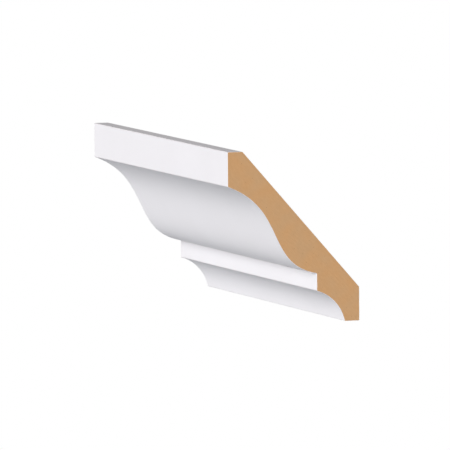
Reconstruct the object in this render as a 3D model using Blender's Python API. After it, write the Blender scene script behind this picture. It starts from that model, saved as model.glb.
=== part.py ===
"""Crown moulding length: a short square-cut run of MDF crown moulding, primed white.

Metres, +Z up. The moulding hangs as it is fitted in a room: it runs along X, the wall is the plane
Y = 0 behind it, and the ceiling lies on its top. The origin is the middle of the flat that beds on the
wall, halfway along the run.

The section is one closed outline. Its room side, from the ceiling down, is a plain upright fascia, an
ogee (a hollow that turns into a belly), an upright fillet, a small cove and the toe. Its back is the
wall flat, the slanting back of the board that it was milled from, and the ceiling flat.
"""
import math

import bpy
from mathutils import Vector

# Run
LENGTH = 0.230

# Upright sizes of the room side, from the ceiling down
FASCIA_HEIGHT = 0.0182
OGEE_DROP = 0.0464
FILLET_HEIGHT = 0.0092
COVE_DROP = 0.0162

# Level sizes of the room side, from the room to the wall
OGEE_REACH = 0.0483
COVE_REACH = 0.0151
TOE_WIDTH = 0.0081

# Flats that bed on the wall and on the ceiling
WALL_FLAT = 0.0176
CEILING_FLAT = 0.0080

# Ogee: its slope below level where it leaves the fascia and where it meets the fillet, and how far it
# holds each slope, as a share of the straight line between its ends
OGEE_TOP_SLOPE = math.radians(20.1)
OGEE_FOOT_SLOPE = math.radians(10.2)
OGEE_TOP_FULLNESS = 0.508
OGEE_FOOT_FULLNESS = 0.4255

# Cove: depth of its arc behind the straight line between its ends
COVE_DEPTH = 0.00315

# Straight steps that each curve is cut into
CURVE_STEPS = 36

# Primer, and the eye's impression of it
PRIMER_COLOUR = (0.875, 0.855, 0.875, 1.0)
PRIMER_ROUGHNESS = 0.55


def clear_scene():
    """Remove every object that the scene starts with."""
    for thing in list(bpy.data.objects):
        bpy.data.objects.remove(thing, do_unlink=True)


def primer():
    """Matt white primer, which covers the moulding's faces."""
    material = bpy.data.materials.new("white_primer")
    material.use_nodes = True
    shader = material.node_tree.nodes["Principled BSDF"]
    shader.inputs["Base Color"].default_value = PRIMER_COLOUR
    shader.inputs["Roughness"].default_value = PRIMER_ROUGHNESS
    shader.inputs["Metallic"].default_value = 0.0
    return material


def section_corners():
    """Corners of the section, as (across to the wall, up), going round from the ceiling's room side."""
    toe_front = Vector((-TOE_WIDTH, -WALL_FLAT / 2))
    fillet_foot = toe_front + Vector((-COVE_REACH, COVE_DROP))
    fillet_top = fillet_foot + Vector((0.0, FILLET_HEIGHT))
    fascia_foot = fillet_top + Vector((-OGEE_REACH, OGEE_DROP))
    fascia_top = fascia_foot + Vector((0.0, FASCIA_HEIGHT))
    return {
        "fascia_top": fascia_top,
        "fascia_foot": fascia_foot,
        "fillet_top": fillet_top,
        "fillet_foot": fillet_foot,
        "toe_front": toe_front,
        "wall_foot": Vector((0.0, -WALL_FLAT / 2)),
        "wall_top": Vector((0.0, WALL_FLAT / 2)),
        "ceiling_back": fascia_top + Vector((CEILING_FLAT, 0.0)),
    }


def ogee_handles(top, foot):
    """Handles of the ogee: one leads away from its top and one comes in to its foot."""
    chord = (foot - top).length
    leave = Vector((math.cos(OGEE_TOP_SLOPE), -math.sin(OGEE_TOP_SLOPE)))
    arrive = Vector((math.cos(OGEE_FOOT_SLOPE), -math.sin(OGEE_FOOT_SLOPE)))
    return top + leave * chord * OGEE_TOP_FULLNESS, foot - arrive * chord * OGEE_FOOT_FULLNESS


def cove_handles(top, foot):
    """Handles that make the cove a round arc, hollow towards the back of the board."""
    chord = foot - top
    half_turn = 2.0 * math.atan2(2.0 * COVE_DEPTH, chord.length)
    radius = chord.length / (2.0 * math.sin(half_turn))
    reach = radius * 4.0 / 3.0 * math.tan(half_turn / 2.0)
    along = chord.normalized() * reach * math.cos(half_turn)
    into_board = Vector((-chord.y, chord.x)).normalized() * reach * math.sin(half_turn)
    return top + along + into_board, foot - along + into_board


def add_section_outline(curve):
    """Draw the section's closed outline in the curve, with its long edges sharp."""
    corners = section_corners()
    outline = curve.splines.new("BEZIER")
    outline.use_cyclic_u = True
    outline.bezier_points.add(len(corners) - 1)
    places = {name: outline.bezier_points[i] for i, name in enumerate(corners)}
    for name, point in places.items():
        point.co = corners[name].to_3d()
        point.handle_left_type = "VECTOR"
        point.handle_right_type = "VECTOR"

    curves = [
        ("fascia_foot", "fillet_top", ogee_handles),
        ("fillet_foot", "toe_front", cove_handles),
    ]
    for start, end, handles in curves:
        leave, arrive = handles(corners[start], corners[end])
        places[start].handle_right_type = "FREE"
        places[start].handle_right = leave.to_3d()
        places[end].handle_left_type = "FREE"
        places[end].handle_left = arrive.to_3d()


def build_moulding(collection):
    """The whole moulding: its section, pushed out by half the run to each side of the origin."""
    curve = bpy.data.curves.new("crown_moulding", "CURVE")
    curve.dimensions = "2D"
    curve.fill_mode = "BOTH"
    curve.resolution_u = CURVE_STEPS
    curve.extrude = LENGTH / 2
    add_section_outline(curve)
    curve.materials.append(primer())

    moulding = bpy.data.objects.new("crown_moulding", curve)
    # Stand the outline up: its X runs to the wall, its Y goes up, and it is pushed out along X
    moulding.rotation_euler = (math.pi / 2, 0.0, math.pi / 2)
    collection.objects.link(moulding)
    return moulding


def main():
    """Build the moulding in a collection of its own."""
    clear_scene()
    collection = bpy.data.collections.new("crown_moulding_length")
    bpy.context.scene.collection.children.link(collection)
    build_moulding(collection)


main()
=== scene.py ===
"""Looks of a short, square-cut length of crown moulding, milled from MDF board and primed white.

Metres, +Z up. The moulding hangs as it is fitted in a room: the wall is behind it (+Y), the ceiling lies
on its top, and its run goes along X. One finished piece stands for the solid one: its section is drawn
from the real sizes, pushed out along the run, eased along every arris, and dressed in three finishes:
sprayed primer, MDF as the saw leaves it, and the sanded back of the board with the primer's overspray.
"""
import logging
import math
from dataclasses import dataclass, field
from enum import Enum

import bmesh
import bpy
from mathutils import Matrix, Vector
from mathutils.geometry import interpolate_bezier


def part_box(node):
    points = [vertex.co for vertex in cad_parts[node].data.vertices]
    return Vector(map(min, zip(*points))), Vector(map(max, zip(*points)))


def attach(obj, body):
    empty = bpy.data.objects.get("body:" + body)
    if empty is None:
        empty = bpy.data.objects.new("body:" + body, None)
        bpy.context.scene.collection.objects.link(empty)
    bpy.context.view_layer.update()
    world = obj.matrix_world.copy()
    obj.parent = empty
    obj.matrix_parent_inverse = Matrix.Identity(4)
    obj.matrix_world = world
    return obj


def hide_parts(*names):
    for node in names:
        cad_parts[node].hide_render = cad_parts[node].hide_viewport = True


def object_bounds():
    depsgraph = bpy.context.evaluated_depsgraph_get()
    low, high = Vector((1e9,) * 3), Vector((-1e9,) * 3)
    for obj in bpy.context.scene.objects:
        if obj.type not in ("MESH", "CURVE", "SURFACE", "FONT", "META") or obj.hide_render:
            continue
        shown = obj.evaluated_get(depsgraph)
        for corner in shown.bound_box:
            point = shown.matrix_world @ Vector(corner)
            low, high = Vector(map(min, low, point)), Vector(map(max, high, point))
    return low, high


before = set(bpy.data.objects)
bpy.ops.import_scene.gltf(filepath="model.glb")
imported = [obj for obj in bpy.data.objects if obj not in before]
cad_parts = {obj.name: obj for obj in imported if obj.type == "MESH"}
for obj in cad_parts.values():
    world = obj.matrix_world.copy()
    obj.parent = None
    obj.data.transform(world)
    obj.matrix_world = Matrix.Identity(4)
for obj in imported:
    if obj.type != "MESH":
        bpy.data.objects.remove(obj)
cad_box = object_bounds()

log = logging.getLogger("crown_moulding")

Tree = bpy.types.NodeTree
Socket = bpy.types.NodeSocket
Levels = tuple[float, float]

MM = 0.001
# Distance from one crest to the next of a wave pattern whose scale is 1
WAVE_SPACING = math.pi / 10
# Sockets of a Mix node that mixes colours, which share their names with its number sockets
COLOUR_A = 6
COLOUR_B = 7
MIXED = 2
# Least part of a face's normal along one axis by which it is an end, the slanting back or upright
END_LEAN = 0.9
BACK_LEAN = 0.3
UPRIGHT_LEAN = 0.99


def linear(colour: str) -> tuple[float, float, float, float]:
    """Turn an sRGB hex colour into the linear colour that a shader takes.

    Args:
        colour: The colour as "#RRGGBB".

    Returns:
        Linear red, green and blue, and a full alpha.
    """
    shares = [int(colour[i : i + 2], 16) / 255 for i in (1, 3, 5)]
    red, green, blue = (s / 12.92 if s <= 0.04045 else ((s + 0.055) / 1.055) ** 2.4 for s in shares)
    return red, green, blue, 1.0


def add_node(
    tree: Tree,
    kind: str,
    settings: dict[str, object] | None = None,
    inputs: dict[str | int, object] | None = None,
) -> bpy.types.Node:
    """Add a node with its settings, and set or link its inputs.

    Args:
        tree: The node tree that takes the node.
        kind: The node's type, such as "ShaderNodeTexNoise".
        settings: The node's own properties, by name.
        inputs: What each input takes, by name or number: an output socket is linked, a value is set.

    Returns:
        The new node.
    """
    node = tree.nodes.new(kind)
    for name, value in (settings or {}).items():
        setattr(node, name, value)
    for name, value in (inputs or {}).items():
        if isinstance(value, bpy.types.NodeSocket):
            tree.links.new(value, node.inputs[name])
        else:
            node.inputs[name].default_value = value
    return node


def start_material(name: str) -> tuple[bpy.types.Material, bpy.types.Node, Socket]:
    """Start a material.

    Args:
        name: What it is called.

    Returns:
        The material, its shader and its Object coordinates.
    """
    material = bpy.data.materials.new(name)
    material.use_nodes = True
    tree = material.node_tree
    place = add_node(tree, "ShaderNodeTexCoord").outputs["Object"]
    return material, tree.nodes["Principled BSDF"], place


def turn_to_board(tree: Tree, place: Socket, slope: float) -> Socket:
    """Turn coordinates so that Y runs down the board and Z goes through it, from its face to its back.

    Args:
        tree: The material's node tree.
        place: The Object coordinates.
        slope: How steeply the board leans, as the angle of its back below level.

    Returns:
        The turned coordinates.
    """
    turned = add_node(
        tree,
        "ShaderNodeMapping",
        {"vector_type": "POINT"},
        {"Vector": place, "Rotation": (slope, 0.0, 0.0)},
    )
    return turned.outputs["Vector"]


def layer_relief(tree: Tree, layers: list[tuple[Socket, float]]) -> Socket:
    """Add up the layers of a surface's relief, and turn them into the way it faces.

    Args:
        tree: The material's node tree.
        layers: Each layer's pattern, from 0 to 1, and how high it stands in metres.

    Returns:
        The normal that the shader takes.
    """
    height = 0.0
    for pattern, rise in layers:
        height = add_node(
            tree,
            "ShaderNodeMath",
            {"operation": "MULTIPLY_ADD"},
            {0: pattern, 1: rise, 2: height},
        ).outputs[0]
    bump = add_node(
        tree, "ShaderNodeBump", inputs={"Height": height, "Distance": 1.0, "Strength": 1.0}
    )
    return bump.outputs["Normal"]


class Finish(Enum):
    """The finishes of the moulding's faces, in the order of its material slots."""

    PRIMED = 0
    SAWN = 1
    BOARD_BACK = 2


@dataclass(frozen=True)
class SprayedPrimer:
    """White acrylic primer, sprayed on milled MDF and left matt.

    The eye gets a clean, nearly even white that shows the milled form by its shade alone. Close by it has
    the fine orange peel of spray, faint lines along the run from nicks in the cutter's knives, and faint
    ripples across the run, one for each knife's pass. The film is thinnest on the arrises.
    """

    colour: str = "#F0EFF0"
    dulled: str = "#EBEAEA"
    bare_board: str = "#CA9E6F"
    roughness: float = 0.56
    roughness_spread: float = 0.05
    ior: float = 1.5
    # The film dulls in clouds, and the bare board shows through it a little on the arrises
    cloud: float = 45 * MM
    arris_show_through: float = 0.04
    # Orange peel of spray is about 1 mm across, and the knives leave a ripple every 1.6 mm
    peel: float = 1.1 * MM
    peel_height: float = 0.012 * MM
    knife_line: float = 0.7 * MM
    knife_line_length: float = 160 * MM
    knife_line_height: float = 0.010 * MM
    ripple: float = 1.6 * MM
    ripple_height: float = 0.0012 * MM

    def material(self) -> bpy.types.Material:
        """Make the primer's material.

        Returns:
            The material, on Object coordinates and the mesh's "arris" attribute.
        """
        material, shader, place = start_material("sprayed_white_primer")
        tree = material.node_tree
        lines = self.knife_lines(tree, place)
        gloss = add_node(
            tree,
            "ShaderNodeMapRange",
            inputs={
                "Value": lines,
                "To Min": self.roughness - self.roughness_spread,
                "To Max": self.roughness + self.roughness_spread,
            },
        )
        tree.links.new(self.film_colour(tree, place), shader.inputs["Base Color"])
        tree.links.new(gloss.outputs["Result"], shader.inputs["Roughness"])
        tree.links.new(self.relief(tree, place, lines), shader.inputs["Normal"])
        shader.inputs["IOR"].default_value = self.ior
        return material

    def film_colour(self, tree: Tree, place: Socket) -> Socket:
        """Colour the film: dulled in clouds, and thin on the arrises.

        Args:
            tree: The material's node tree.
            place: The Object coordinates.

        Returns:
            The film's colour.
        """
        clouds = add_node(
            tree,
            "ShaderNodeTexNoise",
            inputs={"Vector": place, "Scale": 1 / self.cloud, "Detail": 3.0},
        )
        film = add_node(
            tree,
            "ShaderNodeMix",
            {"data_type": "RGBA"},
            {
                "Factor": clouds.outputs["Fac"],
                COLOUR_A: linear(self.colour),
                COLOUR_B: linear(self.dulled),
            },
        )
        arris = add_node(tree, "ShaderNodeAttribute", {"attribute_name": "arris"})
        thin = add_node(
            tree,
            "ShaderNodeMath",
            {"operation": "MULTIPLY"},
            {0: arris.outputs["Fac"], 1: self.arris_show_through},
        )
        colour = add_node(
            tree,
            "ShaderNodeMix",
            {"data_type": "RGBA"},
            {
                "Factor": thin.outputs[0],
                COLOUR_A: film.outputs[MIXED],
                COLOUR_B: linear(self.bare_board),
            },
        )
        return colour.outputs[MIXED]

    def knife_lines(self, tree: Tree, place: Socket) -> Socket:
        """Draw the lines that nicks in the cutter's knives leave along the run.

        Args:
            tree: The material's node tree.
            place: The Object coordinates.

        Returns:
            The lines' pattern, from 0 to 1.
        """
        along = add_node(
            tree,
            "ShaderNodeMapping",
            inputs={
                "Vector": place,
                "Scale": (1 / self.knife_line_length, 1 / self.knife_line, 1 / self.knife_line),
            },
        )
        lines = add_node(
            tree,
            "ShaderNodeTexNoise",
            inputs={"Vector": along.outputs["Vector"], "Scale": 1.0, "Detail": 3.0},
        )
        return lines.outputs["Fac"]

    def relief(self, tree: Tree, place: Socket, lines: Socket) -> Socket:
        """Raise the orange peel, the knife lines and the knives' ripples.

        Args:
            tree: The material's node tree.
            place: The Object coordinates.
            lines: The knife lines' pattern.

        Returns:
            The normal that the shader takes.
        """
        peel = add_node(
            tree,
            "ShaderNodeTexNoise",
            inputs={"Vector": place, "Scale": 1 / self.peel, "Detail": 2.0},
        )
        ripples = add_node(
            tree,
            "ShaderNodeTexWave",
            {"wave_type": "BANDS", "bands_direction": "X", "wave_profile": "SIN"},
            {"Vector": place, "Scale": WAVE_SPACING / self.ripple, "Distortion": 0.0},
        )
        return layer_relief(
            tree,
            [
                (peel.outputs["Fac"], self.peel_height),
                (lines, self.knife_line_height),
                (ripples.outputs["Fac"], self.ripple_height),
            ],
        )


@dataclass(frozen=True)
class SawnMdf:
    """MDF across the board, as a fine saw leaves it.

    The eye gets a warm tan with a felt-like grain: short fibre bundles that lie in the plane of the board,
    patches of slightly different tint, small dark bark specks, a skin a shade denser at the board's back,
    and the saw's faint arcs.
    """

    colour: str = "#CE9E6A"
    colour_drifted: str = "#C8A073"
    fibre_dark: str = "#BE905F"
    fibre_light: str = "#D8AD7F"
    speck: str = "#92693F"
    skin: str = "#BE9161"
    roughness: float = 0.88
    ior: float = 1.45
    fuzz: float = 0.12
    # Bundles are about 0.35 mm thick and 2 mm long. Their noise is dark below the first level and light
    # above the second
    bundle_thickness: float = 0.35 * MM
    bundle_length: float = 2.0 * MM
    bundle_height: float = 0.06 * MM
    bundle_levels: Levels = (0.28, 0.72)
    bundle_share: float = 0.3
    # The tint drifts from one colour to the other between the two levels of its noise
    patch: float = 9.0 * MM
    patch_levels: Levels = (0.32, 0.68)
    # Real specks are about 0.2 mm long: they are drawn at 0.55 mm, to show
    speck_spacing: float = 2.4 * MM
    speck_length: float = 0.55 * MM
    speck_flatness: float = 1.6
    speck_core: float = 0.4
    skin_depth: float = 1.6 * MM
    skin_share: float = 0.25
    # The saw's axis is a radius away from the origin, out in the room and below level by this angle
    saw_radius: float = 127 * MM
    saw_angle: float = math.radians(36.87)
    saw_pitch: float = 1.9 * MM
    saw_height: float = 0.010 * MM
    saw_wander: float = 0.6
    saw_wander_scale: float = 0.2

    def material(self, slope: float, back: float) -> bpy.types.Material:
        """Make the sawn ends' material.

        Args:
            slope: How steeply the board leans, as the angle of its back below level.
            back: How far the board's back lies from the origin, square to the board.

        Returns:
            The material, on Object coordinates turned to lie along the board.
        """
        material, shader, place = start_material("sawn_mdf")
        tree = material.node_tree
        board = turn_to_board(tree, place, slope)
        bundles = self.bundles(tree, board)
        felt = self.felt(tree, place, bundles)
        specked = self.add_specks(tree, board, felt)
        colour = self.add_skin(tree, board, specked, back)
        tree.links.new(colour, shader.inputs["Base Color"])
        tree.links.new(self.relief(tree, place, bundles), shader.inputs["Normal"])
        shader.inputs["Roughness"].default_value = self.roughness
        shader.inputs["IOR"].default_value = self.ior
        shader.inputs["Sheen Weight"].default_value = self.fuzz
        return material

    def bundles(self, tree: Tree, board: Socket) -> Socket:
        """Lay the fibre bundles, which are thin through the board and long in its plane.

        Args:
            tree: The material's node tree.
            board: The coordinates that lie along the board.

        Returns:
            The bundles' pattern, from 0 to 1.
        """
        stretched = add_node(
            tree,
            "ShaderNodeMapping",
            inputs={
                "Vector": board,
                "Scale": (1 / self.bundle_length, 1 / self.bundle_length, 1 / self.bundle_thickness),
            },
        )
        bundles = add_node(
            tree,
            "ShaderNodeTexNoise",
            inputs={
                "Vector": stretched.outputs["Vector"],
                "Scale": 1.0,
                "Detail": 4.0,
                "Roughness": 0.65,
            },
        )
        return bundles.outputs["Fac"]

    def felt(self, tree: Tree, place: Socket, bundles: Socket) -> Socket:
        """Colour the felt: dark and light bundles over a tint that drifts in patches.

        Args:
            tree: The material's node tree.
            place: The Object coordinates.
            bundles: The bundles' pattern.

        Returns:
            The felt's colour.
        """
        tone = add_node(
            tree,
            "ShaderNodeMapRange",
            inputs={
                "Value": bundles,
                "From Min": self.bundle_levels[0],
                "From Max": self.bundle_levels[1],
            },
        )
        fibres = add_node(
            tree,
            "ShaderNodeMix",
            {"data_type": "RGBA"},
            {
                "Factor": tone.outputs["Result"],
                COLOUR_A: linear(self.fibre_dark),
                COLOUR_B: linear(self.fibre_light),
            },
        )
        drift = add_node(
            tree,
            "ShaderNodeTexNoise",
            inputs={"Vector": place, "Scale": 1 / self.patch, "Detail": 1.0},
        )
        patches = add_node(
            tree,
            "ShaderNodeMapRange",
            inputs={
                "Value": drift.outputs["Fac"],
                "From Min": self.patch_levels[0],
                "From Max": self.patch_levels[1],
            },
        )
        resin = add_node(
            tree,
            "ShaderNodeMix",
            {"data_type": "RGBA"},
            {
                "Factor": patches.outputs["Result"],
                COLOUR_A: linear(self.colour),
                COLOUR_B: linear(self.colour_drifted),
            },
        )
        felt = add_node(
            tree,
            "ShaderNodeMix",
            {"data_type": "RGBA"},
            {
                "Factor": self.bundle_share,
                COLOUR_A: resin.outputs[MIXED],
                COLOUR_B: fibres.outputs[MIXED],
            },
        )
        return felt.outputs[MIXED]

    def add_specks(self, tree: Tree, board: Socket, felt: Socket) -> Socket:
        """Scatter bark specks over the felt, each one dark or faint and flattened in the board's plane.

        Args:
            tree: The material's node tree.
            board: The coordinates that lie along the board.
            felt: The felt's colour.

        Returns:
            The specked colour.
        """
        flattened = add_node(
            tree,
            "ShaderNodeMapping",
            inputs={"Vector": board, "Scale": (1.0, 1.0, self.speck_flatness)},
        )
        cells = add_node(
            tree,
            "ShaderNodeTexVoronoi",
            {"feature": "F1"},
            {
                "Vector": flattened.outputs["Vector"],
                "Scale": 1 / self.speck_spacing,
                "Randomness": 1.0,
            },
        )
        rim = self.speck_length / 2 / self.speck_spacing
        near_speck = add_node(
            tree,
            "ShaderNodeMapRange",
            inputs={
                "Value": cells.outputs["Distance"],
                "From Min": rim * self.speck_core,
                "From Max": rim,
                "To Min": 1.0,
                "To Max": 0.0,
            },
        )
        # Each cell of the pattern has a colour of its own, which makes its speck dark or faint
        darkness = add_node(
            tree,
            "ShaderNodeMath",
            {"operation": "MULTIPLY"},
            {0: near_speck.outputs["Result"], 1: cells.outputs["Color"]},
        )
        specked = add_node(
            tree,
            "ShaderNodeMix",
            {"data_type": "RGBA"},
            {"Factor": darkness.outputs[0], COLOUR_A: felt, COLOUR_B: linear(self.speck)},
        )
        return specked.outputs[MIXED]

    def add_skin(self, tree: Tree, board: Socket, specked: Socket, back: float) -> Socket:
        """Shade the denser skin in towards the board's back.

        Args:
            tree: The material's node tree.
            board: The coordinates that lie along the board.
            specked: The colour of the felt and its specks.
            back: How far the board's back lies from the origin, square to the board.

        Returns:
            The whole colour of the sawn end.
        """
        through = add_node(tree, "ShaderNodeSeparateXYZ", inputs={"Vector": board})
        in_skin = add_node(
            tree,
            "ShaderNodeMapRange",
            {"interpolation_type": "SMOOTHSTEP"},
            {
                "Value": through.outputs["Z"],
                "From Min": back - self.skin_depth,
                "From Max": back,
                "To Min": 0.0,
                "To Max": self.skin_share,
            },
        )
        colour = add_node(
            tree,
            "ShaderNodeMix",
            {"data_type": "RGBA"},
            {"Factor": in_skin.outputs["Result"], COLOUR_A: specked, COLOUR_B: linear(self.skin)},
        )
        return colour.outputs[MIXED]

    def relief(self, tree: Tree, place: Socket, bundles: Socket) -> Socket:
        """Raise the bundles and the saw's arcs.

        Args:
            tree: The material's node tree.
            place: The Object coordinates.
            bundles: The bundles' pattern.

        Returns:
            The normal that the shader takes.
        """
        out = self.saw_radius * math.cos(self.saw_angle)
        below = self.saw_radius * math.sin(self.saw_angle)
        from_saw = add_node(
            tree,
            "ShaderNodeMapping",
            inputs={"Vector": place, "Location": (0.0, out, below)},
        )
        arcs = add_node(
            tree,
            "ShaderNodeTexWave",
            {"wave_type": "RINGS", "rings_direction": "X", "wave_profile": "SIN"},
            {
                "Vector": from_saw.outputs["Vector"],
                "Scale": WAVE_SPACING / self.saw_pitch,
                "Distortion": self.saw_wander,
                "Detail Scale": self.saw_wander_scale,
            },
        )
        return layer_relief(
            tree, [(bundles, self.bundle_height), (arcs.outputs["Fac"], self.saw_height)]
        )


@dataclass(frozen=True)
class SandedBoardBack:
    """The sanded back of the MDF board, with the primer's overspray along its two long edges.

    The eye gets a smooth pale tan, tighter and greyer than the sawn end, with fine sanding lines along
    the run, and a speckled white fringe where spray drifted round the edges.
    """

    colour: str = "#CBA67E"
    fibre: str = "#B9906A"
    overspray_white: str = "#EDECEB"
    roughness: float = 0.62
    ior: float = 1.45
    # Darker clots of fibre are about 1.3 mm across, and come in between the two levels of their noise
    fibre_size: float = 1.3 * MM
    fibre_levels: Levels = (0.35, 0.8)
    fibre_share: float = 0.7
    sanding_line: float = 0.5 * MM
    sanding_length: float = 60 * MM
    sanding_height: float = 0.006 * MM
    # Where the spray starts and where it is full, measured outwards from the back's edge. Both move in by
    # up to the drift, in lobes
    spray_start: float = -2.45 * MM
    spray_full: float = 2.1 * MM
    drift: float = 3.5 * MM
    drift_lobe: float = 14 * MM
    # The droplets' noise and the spray's density together cover the board between the two levels
    droplet: float = 0.4 * MM
    droplet_levels: Levels = (0.72, 1.0)

    def material(self, slope: float, middle: float, half_width: float) -> bpy.types.Material:
        """Make the back's material.

        Args:
            slope: How steeply the board leans, as the angle of its back below level.
            middle: Where the middle of the back lies down the board, from the origin.
            half_width: Half the width of the back.

        Returns:
            The material, on Object coordinates turned to lie along the board.
        """
        material, shader, place = start_material("sanded_mdf_with_overspray")
        tree = material.node_tree
        board = turn_to_board(tree, place, slope)
        spray = self.spray(tree, board, middle, half_width)
        colour = add_node(
            tree,
            "ShaderNodeMix",
            {"data_type": "RGBA"},
            {
                "Factor": self.droplets(tree, board, spray),
                COLOUR_A: self.bare_board(tree, board),
                COLOUR_B: linear(self.overspray_white),
            },
        )
        tree.links.new(colour.outputs[MIXED], shader.inputs["Base Color"])
        tree.links.new(self.relief(tree, board), shader.inputs["Normal"])
        shader.inputs["Roughness"].default_value = self.roughness
        shader.inputs["IOR"].default_value = self.ior
        return material

    def bare_board(self, tree: Tree, board: Socket) -> Socket:
        """Colour the sanded board, with darker clots of fibre.

        Args:
            tree: The material's node tree.
            board: The coordinates that lie along the board.

        Returns:
            The board's colour.
        """
        fibres = add_node(
            tree,
            "ShaderNodeTexNoise",
            inputs={"Vector": board, "Scale": 1 / self.fibre_size, "Detail": 5.0, "Roughness": 0.7},
        )
        tone = add_node(
            tree,
            "ShaderNodeMapRange",
            inputs={
                "Value": fibres.outputs["Fac"],
                "From Min": self.fibre_levels[0],
                "From Max": self.fibre_levels[1],
                "To Max": self.fibre_share,
            },
        )
        bare = add_node(
            tree,
            "ShaderNodeMix",
            {"data_type": "RGBA"},
            {
                "Factor": tone.outputs["Result"],
                COLOUR_A: linear(self.colour),
                COLOUR_B: linear(self.fibre),
            },
        )
        return bare.outputs[MIXED]

    def spray(self, tree: Tree, board: Socket, middle: float, half_width: float) -> Socket:
        """Thicken the spray towards the back's two long edges.

        Args:
            tree: The material's node tree.
            board: The coordinates that lie along the board.
            middle: Where the middle of the back lies down the board, from the origin.
            half_width: Half the width of the back.

        Returns:
            The spray's density, from 0 to 1.
        """
        down = add_node(tree, "ShaderNodeSeparateXYZ", inputs={"Vector": board})
        from_middle = add_node(
            tree,
            "ShaderNodeMath",
            {"operation": "SUBTRACT"},
            {0: down.outputs["Y"], 1: middle},
        )
        off_middle = add_node(
            tree, "ShaderNodeMath", {"operation": "ABSOLUTE"}, {0: from_middle.outputs[0]}
        )
        lobes = add_node(
            tree,
            "ShaderNodeTexNoise",
            inputs={"Vector": board, "Scale": 1 / self.drift_lobe, "Detail": 2.0},
        )
        reach = add_node(
            tree,
            "ShaderNodeMath",
            {"operation": "MULTIPLY_ADD"},
            {0: lobes.outputs["Fac"], 1: self.drift, 2: off_middle.outputs[0]},
        )
        spray = add_node(
            tree,
            "ShaderNodeMapRange",
            {"interpolation_type": "SMOOTHSTEP"},
            {
                "Value": reach.outputs[0],
                "From Min": half_width + self.spray_start,
                "From Max": half_width + self.spray_full,
            },
        )
        return spray.outputs["Result"]

    def droplets(self, tree: Tree, board: Socket, spray: Socket) -> Socket:
        """Break the spray up into droplets, which close up where it is dense.

        Args:
            tree: The material's node tree.
            board: The coordinates that lie along the board.
            spray: The spray's density.

        Returns:
            How much of the board the paint covers, from 0 to 1.
        """
        grain = add_node(
            tree,
            "ShaderNodeTexNoise",
            inputs={"Vector": board, "Scale": 1 / self.droplet, "Detail": 2.0},
        )
        dense = add_node(
            tree, "ShaderNodeMath", {"operation": "ADD"}, {0: grain.outputs["Fac"], 1: spray}
        )
        cover = add_node(
            tree,
            "ShaderNodeMapRange",
            inputs={
                "Value": dense.outputs[0],
                "From Min": self.droplet_levels[0],
                "From Max": self.droplet_levels[1],
            },
        )
        return cover.outputs["Result"]

    def relief(self, tree: Tree, board: Socket) -> Socket:
        """Raise the sander's fine lines along the run.

        Args:
            tree: The material's node tree.
            board: The coordinates that lie along the board.

        Returns:
            The normal that the shader takes.
        """
        along = add_node(
            tree,
            "ShaderNodeMapping",
            inputs={
                "Vector": board,
                "Scale": (1 / self.sanding_length, 1 / self.sanding_line, 1 / self.sanding_line),
            },
        )
        sanding = add_node(
            tree,
            "ShaderNodeTexNoise",
            inputs={"Vector": along.outputs["Vector"], "Scale": 1.0, "Detail": 3.0},
        )
        return layer_relief(tree, [(sanding.outputs["Fac"], self.sanding_height)])


@dataclass
class OutlinePen:
    """Draws a closed outline in a mesh, one stretch after another, in the plane X = run_start."""

    mesh: bmesh.types.BMesh
    run_start: float
    first: bmesh.types.BMVert = field(init=False)
    tip: bmesh.types.BMVert = field(init=False)
    corners: list[bmesh.types.BMVert] = field(default_factory=list)

    def place(self, point: Vector) -> Vector:
        """Stand a point of the section, given as (across, up), in the outline's plane."""
        return Vector((self.run_start, point.x, point.y))

    def start(self, point: Vector) -> None:
        """Put the pen down.

        Args:
            point: The outline's first corner, as (across, up).
        """
        self.first = self.mesh.verts.new(self.place(point))
        self.tip = self.first
        self.corners.append(self.first)

    def step_to(self, point: Vector) -> None:
        """Draw one straight step that isn't a corner of the section.

        Args:
            point: Where the step ends, as (across, up).
        """
        made = bmesh.ops.extrude_vert_indiv(self.mesh, verts=[self.tip])
        self.tip = made["verts"][0]
        self.tip.co = self.place(point)

    def line_to(self, point: Vector) -> None:
        """Draw a straight stretch that ends at a corner.

        Args:
            point: The corner, as (across, up).
        """
        self.step_to(point)
        self.corners.append(self.tip)

    def curve_to(self, point: Vector, leave: Vector, arrive: Vector, steps: int) -> None:
        """Draw a smooth curve that ends at a corner.

        Args:
            point: The corner, as (across, up).
            leave: The handle by which the curve leaves the last corner.
            arrive: The handle by which it comes in to the new one.
            steps: How many straight steps the curve is cut into.
        """
        start = Vector(self.tip.co.yz)
        places = interpolate_bezier(start, leave, arrive, point, steps + 1)
        for middle in places[1:-1]:
            self.step_to(middle)
        self.line_to(point)

    def arc_to(self, point: Vector, depth: float, steps: int) -> None:
        """Spin the pen round to a corner, hollow on the left of its way.

        Args:
            point: The corner, as (across, up).
            depth: How deep the arc lies behind the straight line to the corner.
            steps: How many straight steps the arc is cut into.
        """
        start = Vector(self.tip.co.yz)
        chord = point - start
        half_turn = 2.0 * math.atan2(2.0 * depth, chord.length)
        radius = chord.length / (2.0 * math.sin(half_turn))
        to_centre = Vector((chord.y, -chord.x)).normalized() * (radius - depth)
        centre = self.place((start + point) / 2 + to_centre)
        made = bmesh.ops.spin(
            self.mesh,
            geom=[self.tip],
            cent=centre,
            axis=(-1.0, 0.0, 0.0),
            angle=2.0 * half_turn,
            steps=steps,
        )
        self.tip = next(e for e in made["geom_last"] if isinstance(e, bmesh.types.BMVert))
        self.corners.append(self.tip)

    def close(self) -> None:
        """Join the last corner to the first, and fill the outline."""
        self.mesh.edges.new((self.tip, self.first))
        bmesh.ops.contextual_create(self.mesh, geom=list(self.mesh.edges))


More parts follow.
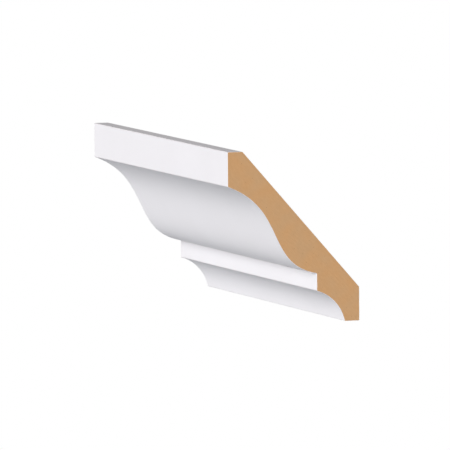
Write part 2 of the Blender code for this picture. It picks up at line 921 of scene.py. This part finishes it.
@dataclass
class CrownMoulding:
    """The moulding: one milled length of MDF, primed on its room side and on both beds."""

    # Upright sizes of the room side, from the ceiling down. The ogee takes what is left of the drop
    fascia_height: float = 18.2 * MM
    fillet_height: float = 9.2 * MM
    cove_drop: float = 16.2 * MM
    # Level sizes, from the wall to the room. The ogee takes what is left of the projection
    toe_width: float = 8.1 * MM
    cove_reach: float = 15.1 * MM
    # Beds on the wall and on the ceiling
    wall_flat: float = 17.6 * MM
    ceiling_flat: float = 8.0 * MM
    # Slopes of the ogee below level at its ends, and how far it holds each, as a share of its chord
    ogee_top_slope: float = math.radians(20.1)
    ogee_foot_slope: float = math.radians(10.2)
    ogee_top_fullness: float = 0.508
    ogee_foot_fullness: float = 0.4255
    ogee_steps: int = 72
    cove_depth: float = 3.15 * MM
    cove_steps: int = 24
    # Primer rounds each arris a little, and edges that turn by more than the sharp angle look crisp
    arris_ease: float = 0.45 * MM
    arris_steps: int = 3
    sharp_angle: float = math.radians(8)
    # The film shows as a rim at the sawn ends. On the upright faces the saw breaks it off in a thin slope
    film: float = 0.10 * MM
    film_break: float = 0.7 * MM
    primer: SprayedPrimer = SprayedPrimer()
    sawn: SawnMdf = SawnMdf()
    board_back: SandedBoardBack = SandedBoardBack()
    # Lowest and highest corner of the solid that the piece stands for
    low: Vector = field(init=False)
    high: Vector = field(init=False)

    def __post_init__(self) -> None:
        """Take the run and the outer planes of the section from the solid."""
        self.low, self.high = (Vector(corner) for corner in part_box("crown_moulding"))

    def draw_section(self, mesh: bmesh.types.BMesh) -> OutlinePen:
        """Draw the section at the far end of the run, and fill it.

        Args:
            mesh: The mesh that takes the section.

        Returns:
            The pen, which knows the section's corners.
        """
        low, high = self.low, self.high
        fascia_top = Vector((low.y, high.z))
        fascia_foot = fascia_top - Vector((0.0, self.fascia_height))
        toe_front = Vector((high.y - self.toe_width, low.z))
        fillet_foot = toe_front + Vector((-self.cove_reach, self.cove_drop))
        fillet_top = fillet_foot + Vector((0.0, self.fillet_height))
        back_top, back_foot = self.back_line()

        ogee = (fillet_top - fascia_foot).length
        leave = Vector((math.cos(self.ogee_top_slope), -math.sin(self.ogee_top_slope)))
        arrive = Vector((math.cos(self.ogee_foot_slope), -math.sin(self.ogee_foot_slope)))

        pen = OutlinePen(mesh, low.x)
        pen.start(fascia_top)
        pen.line_to(fascia_foot)
        pen.curve_to(
            fillet_top,
            fascia_foot + leave * ogee * self.ogee_top_fullness,
            fillet_top - arrive * ogee * self.ogee_foot_fullness,
            self.ogee_steps,
        )
        pen.line_to(fillet_foot)
        pen.arc_to(toe_front, self.cove_depth, self.cove_steps)
        pen.line_to(Vector((high.y, low.z)))
        pen.line_to(back_foot)
        pen.line_to(back_top)
        pen.close()
        return pen

    def back_line(self) -> tuple[Vector, Vector]:
        """Find the line of the slanting back in the section.

        Returns:
            Its upper and its lower end, as (across, up).
        """
        top = Vector((self.low.y + self.ceiling_flat, self.high.z))
        foot = Vector((self.high.y, self.low.z + self.wall_flat))
        return top, foot

    def shape(self) -> bpy.types.Mesh:
        """Model the moulding.

        Returns:
            Its closed mesh, in place, with a finish for each face and the arrises marked.
        """
        mesh = bmesh.new()
        arris = mesh.faces.layers.float.new("arris")
        pen = self.draw_section(mesh)
        self.push_out(mesh)
        rounds = self.ease_arrises(mesh, pen)
        ends = [face for face in mesh.faces if abs(face.normal.x) > END_LEAN]
        for face in mesh.faces:
            slants_back = face.normal.y > BACK_LEAN and face.normal.z > BACK_LEAN
            face.material_index = (Finish.BOARD_BACK if slants_back else Finish.PRIMED).value
            face.smooth = True
            face[arris] = 1.0 if face in rounds else 0.0
        for end in ends:
            self.cut_end(mesh, end)

        finished = bpy.data.meshes.new("primed_crown_moulding")
        mesh.to_mesh(finished)
        mesh.free()
        finished.set_sharp_from_angle(angle=self.sharp_angle)
        return finished

    def push_out(self, mesh: bmesh.types.BMesh) -> None:
        """Push the section out along the run.

        Args:
            mesh: The mesh that the filled section is in.
        """
        made = bmesh.ops.extrude_face_region(mesh, geom=list(mesh.faces), use_keep_orig=True)
        pushed = [item for item in made["geom"] if isinstance(item, bmesh.types.BMVert)]
        bmesh.ops.translate(mesh, verts=pushed, vec=(self.high.x - self.low.x, 0.0, 0.0))

    def ease_arrises(self, mesh: bmesh.types.BMesh, pen: OutlinePen) -> set[bmesh.types.BMFace]:
        """Round the section's corners along the run, and turn all faces outwards.

        Args:
            mesh: The mesh that the pushed-out section is in.
            pen: The pen that drew the section.

        Returns:
            The faces of the rounds.
        """
        half_run = (self.high.x - self.low.x) / 2
        at_corners = [edge for corner in pen.corners for edge in corner.link_edges]
        eased = bmesh.ops.bevel(
            mesh,
            geom=[edge for edge in at_corners if edge.calc_length() > half_run],
            offset=self.arris_ease,
            offset_type="OFFSET",
            segments=self.arris_steps,
            profile=0.5,
            affect="EDGES",
            clamp_overlap=True,
            material=-1,
        )
        bmesh.ops.recalc_face_normals(mesh, faces=list(mesh.faces))
        return set(eased["faces"])

    def cut_end(self, mesh: bmesh.types.BMesh, end: bmesh.types.BMFace) -> None:
        """Show the raw board at a sawn end, inside the thin rim of the primer's film.

        Args:
            mesh: The mesh that the end is in.
            end: The end's one face.
        """
        end.material_index = Finish.SAWN.value
        end.smooth = False
        inward = -math.copysign(self.film_break, end.normal.x)
        rim = bmesh.ops.inset_region(
            mesh, faces=[end], thickness=self.film, use_even_offset=True, use_boundary=True
        )["faces"]
        broken = set()
        for strip in rim:
            around = {face for edge in strip.edges for face in edge.link_faces}
            side = (around - set(rim) - {end}).pop()
            primed = side.material_index == Finish.PRIMED.value
            strip.material_index = (Finish.PRIMED if primed else Finish.SAWN).value
            strip.smooth = False
            if side.normal.y < -UPRIGHT_LEAN:
                broken.update(set(strip.verts) - set(end.verts))
        bmesh.ops.translate(mesh, verts=list(broken), vec=(inward, 0.0, 0.0))

    def dress(self, finished: bpy.types.Mesh) -> None:
        """Give the mesh its finishes, in the order of the Finish options.

        Args:
            finished: The moulding's mesh.
        """
        top, foot = self.back_line()
        down = (foot - top).normalized()
        outward = Vector((-down.y, down.x))
        slope = math.atan2(-down.y, down.x)
        middle = ((top + foot) / 2).dot(down)
        half_width = (foot - top).length / 2
        finished.materials.append(self.primer.material())
        finished.materials.append(self.sawn.material(slope, top.dot(outward)))
        finished.materials.append(self.board_back.material(slope, middle, half_width))

    def build(self) -> bpy.types.Object:
        """Make the finished piece, which stands for the solid one.

        Returns:
            The piece, riding on the frame's one body.
        """
        finished = self.shape()
        self.dress(finished)
        piece = bpy.data.objects.new("primed_crown_moulding", finished)
        bpy.context.scene.collection.objects.link(piece)
        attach(piece, "root")
        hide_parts("crown_moulding")
        return piece


def look_back(azimuth: float, elevation: float) -> Vector:
    """Find the way from the moulding to a camera or a lamp.

    Args:
        azimuth: Angle round the moulding, in radians, from before its room side towards its near end.
        elevation: Angle above level, in radians.

    Returns:
        A vector of length 1.
    """
    return Vector(
        (
            math.sin(azimuth) * math.cos(elevation),
            -math.cos(azimuth) * math.cos(elevation),
            math.sin(elevation),
        )
    )


@dataclass(frozen=True)
class Lamp:
    """A broad soft light from far off, so that it is even all along the run."""

    name: str
    azimuth: float
    elevation: float
    strength: float
    colour: str
    spread: float = math.radians(40)

    def build(self) -> bpy.types.Object:
        """Hang the lamp, turned so that it shines on the moulding.

        Returns:
            The lamp.
        """
        light = bpy.data.lights.new(self.name, "SUN")
        light.angle = self.spread
        light.energy = self.strength
        light.color = linear(self.colour)[:3]
        lamp = bpy.data.objects.new(self.name, light)
        back = look_back(self.azimuth, self.elevation)
        lamp.location = back
        lamp.rotation_euler = (-back).to_track_quat("-Z", "Y").to_euler()
        bpy.context.scene.collection.objects.link(lamp)
        return lamp


@dataclass
class Studio:
    """A plain white studio: soft lamps before and behind, dim light all round, and a pale floor."""

    background: str = "#FFFFFF"
    around: str = "#EDE8EC"
    around_strength: float = 0.24
    # The floor is far below the moulding, so that it blocks no view from up to 40 degrees below level
    floor_drop: float = 4.6
    floor_radius: float = 18.4
    floor_fade: float = 9.2
    floor_segments: int = 96
    floor_colour: str = "#E7ECEF"
    floor_roughness: float = 0.9
    floor_glow: float = 0.35
    # The view: nearly end on, a little above level, through a very long lens
    view_azimuth: float = math.radians(71.93)
    view_elevation: float = math.radians(4.59)
    view_roll: float = math.radians(0.43)
    view_distance: float = 6.3405
    view_lens: float = 960.1
    sensor: float = 36.0
    nearest: float = 0.1
    farthest: float = 20.0
    # The lens is aimed a touch below the middle of the box
    aim_offset: Vector = field(default_factory=lambda: Vector((0.2, 0.0, -2.5)) * MM)

    def lamps(self) -> list[Lamp]:
        """List the studio's lamps.

        Returns:
            The key, the fill and the back light.
        """
        return [
            Lamp(
                name="key",
                azimuth=math.radians(45),
                elevation=math.radians(14),
                strength=2.94,
                colour="#FDFDFF",
                spread=math.radians(32),
            ),
            Lamp(
                name="fill",
                azimuth=math.radians(0),
                elevation=math.radians(20),
                strength=0.705,
                colour="#FDFAFF",
            ),
            # Lights what faces the wall, and is so low that little of it reaches the top
            Lamp(
                name="back_light",
                azimuth=math.radians(212),
                elevation=math.radians(-3),
                strength=2.5,
                colour="#FFFDFE",
            ),
        ]

    def build_world(self) -> None:
        """Make a world that is white to the lens and a dim even light to the moulding."""
        world = bpy.data.worlds.new("studio")
        bpy.context.scene.world = world
        world.use_nodes = True
        tree = world.node_tree
        tree.nodes.clear()
        seen = add_node(
            tree,
            "ShaderNodeBackground",
            inputs={"Color": linear(self.background), "Strength": 1.0},
        )
        dim = add_node(
            tree,
            "ShaderNodeBackground",
            inputs={"Color": linear(self.around), "Strength": self.around_strength},
        )
        path = add_node(tree, "ShaderNodeLightPath")
        mixed = add_node(
            tree,
            "ShaderNodeMixShader",
            inputs={
                "Fac": path.outputs["Is Camera Ray"],
                1: dim.outputs["Background"],
                2: seen.outputs["Background"],
            },
        )
        add_node(tree, "ShaderNodeOutputWorld", inputs={"Surface": mixed.outputs["Shader"]})

    def floor_material(self) -> bpy.types.Material:
        """Make the pale floor's material, which fades into the white at its rim.

        Returns:
            The material, on Object coordinates.
        """
        material, shader, place = start_material("pale_floor")
        tree = material.node_tree
        flat = add_node(
            tree,
            "ShaderNodeVectorMath",
            {"operation": "MULTIPLY"},
            {0: place, 1: (1.0, 1.0, 0.0)},
        )
        out = add_node(
            tree, "ShaderNodeVectorMath", {"operation": "LENGTH"}, {0: flat.outputs["Vector"]}
        )
        fade = add_node(
            tree,
            "ShaderNodeMapRange",
            {"interpolation_type": "SMOOTHSTEP"},
            {
                "Value": out.outputs["Value"],
                "From Min": self.floor_radius - self.floor_fade,
                "From Max": self.floor_radius,
                "To Min": 1.0,
                "To Max": 0.0,
            },
        )
        # The lamps hang low, so the lens is given a paler floor than they would light
        path = add_node(tree, "ShaderNodeLightPath")
        glow = add_node(
            tree,
            "ShaderNodeMath",
            {"operation": "MULTIPLY"},
            {0: path.outputs["Is Camera Ray"], 1: self.floor_glow},
        )
        tree.links.new(glow.outputs[0], shader.inputs["Emission Strength"])
        tree.links.new(fade.outputs["Result"], shader.inputs["Alpha"])
        shader.inputs["Base Color"].default_value = linear(self.floor_colour)
        shader.inputs["Roughness"].default_value = self.floor_roughness
        shader.inputs["Emission Color"].default_value = linear(self.background)
        return material

    def build_floor(self) -> bpy.types.Object:
        """Lay the round floor.

        Returns:
            The floor.
        """
        mesh = bmesh.new()
        bmesh.ops.create_circle(
            mesh,
            cap_ends=True,
            radius=self.floor_radius,
            segments=self.floor_segments,
            matrix=Matrix.Translation((0.0, 0.0, -self.floor_drop)),
        )
        laid = bpy.data.meshes.new("floor")
        mesh.to_mesh(laid)
        mesh.free()
        laid.materials.append(self.floor_material())
        floor = bpy.data.objects.new("floor", laid)
        bpy.context.scene.collection.objects.link(floor)
        return floor

    def build_camera(self, middle: Vector) -> bpy.types.Object:
        """Set up the camera.

        Args:
            middle: The middle of the moulding's box.

        Returns:
            The camera, which is made the scene's own.
        """
        lens = bpy.data.cameras.new("camera")
        lens.sensor_width = self.sensor
        lens.lens = self.view_lens
        lens.clip_start = self.nearest
        lens.clip_end = self.farthest
        camera = bpy.data.objects.new("camera", lens)
        back = look_back(self.view_azimuth, self.view_elevation)
        camera.location = middle + self.aim_offset + back * self.view_distance
        turned = (-back).to_track_quat("-Z", "Y").to_matrix().to_4x4()
        rolled = turned @ Matrix.Rotation(-self.view_roll, 4, "Z")
        camera.rotation_euler = rolled.to_euler()
        bpy.context.scene.collection.objects.link(camera)
        bpy.context.scene.camera = camera
        return camera

    def build(self, box: tuple[Vector, Vector]) -> None:
        """Set up the world, floor, lamps and camera.

        Args:
            box: The lowest and highest corner of the moulding.
        """
        low, high = box
        middle = (Vector(low) + Vector(high)) / 2
        self.build_world()
        self.build_floor()
        for lamp in self.lamps():
            lamp.build()
        self.build_camera(middle)
        settings = bpy.context.scene.view_settings
        settings.view_transform = "Standard"
        settings.look = "None"
        settings.exposure = 0.0
        settings.gamma = 1.0


def main() -> None:
    """Build the moulding and its studio."""
    logging.basicConfig(level=logging.INFO, format="%(name)s: %(message)s")
    piece = CrownMoulding().build()
    log.info("%s: %d faces", piece.name, len(piece.data.polygons))
    Studio().build(cad_box)


if __name__ == "__main__":
    main()
